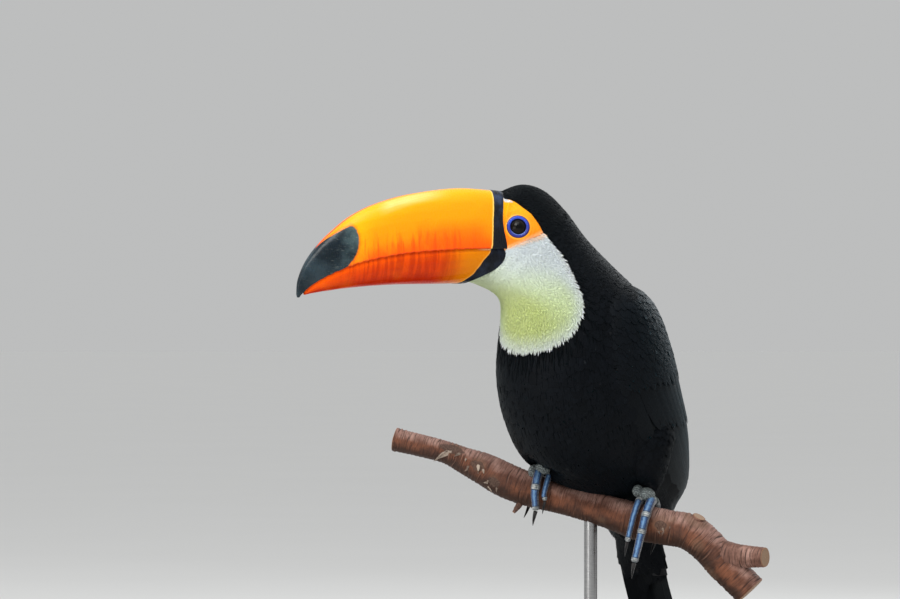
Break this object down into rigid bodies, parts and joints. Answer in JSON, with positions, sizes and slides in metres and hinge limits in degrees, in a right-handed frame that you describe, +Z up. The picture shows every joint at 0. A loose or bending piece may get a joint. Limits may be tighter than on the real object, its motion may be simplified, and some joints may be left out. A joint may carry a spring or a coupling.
{
  "type": "toco toucan",
  "caption": "Life-size toco toucan gripping a cut length of branch, head turned to its right, held up by a plain stand with a short rod and a flat base.",
  "frame": {"origin": "centre of the stand base's underside", "axes": "+Z up; the bill points towards -X and a little towards -Y, the breast faces -Y and -X, and the perch runs along X, falling towards +X"},
  "size_m": [0.3556, 0.2386, 0.4352],
  "materials": {
    "plumage_black": "silky black feathers with a faint blue sheen",
    "plumage_white": "fine soft white feathers, washed with yellow-green low on the bib",
    "plumage_red": "soft red feathers under the tail",
    "bill_horn": "glossy horn, yellow-orange to red-orange, with a black tip spot and base band",
    "face_skin": "bare orange skin with fine bumps, and a blue ring round the eye",
    "eye": "wet dark brown eye",
    "foot_skin": "blue-grey scales",
    "claw_horn": "satin dark horn",
    "bark": "rough reddish-brown bark, pale wood at the cut ends",
    "stand_lacquer": "matte grey lacquer",
    "stand_steel": "brushed"
  },
  "bodies": {
    "root": {"trunk": "plumage_black", "head": "plumage_black", "neck": "plumage_white", "wing_L": "plumage_black", "wing_R": "plumage_black", "tail": "plumage_black", "thigh_L": "plumage_black", "thigh_R": "plumage_black", "bill_upper": "bill_horn", "bill_lower": "bill_horn", "eye_L": "eye", "eye_R": "eye", "foot_L": "foot_skin", "foot_R": "foot_skin", "perch_branch": "bark", "stand_base": "stand_lacquer", "stand_rod": "stand_steel", "claw_L_1": "claw_horn", "claw_L_2": "claw_horn", "claw_L_3": "claw_horn", "claw_L_4": "claw_horn", "claw_R_1": "claw_horn", "claw_R_2": "claw_horn", "claw_R_3": "claw_horn", "claw_R_4": "claw_horn"}
  },
  "joints": []
}
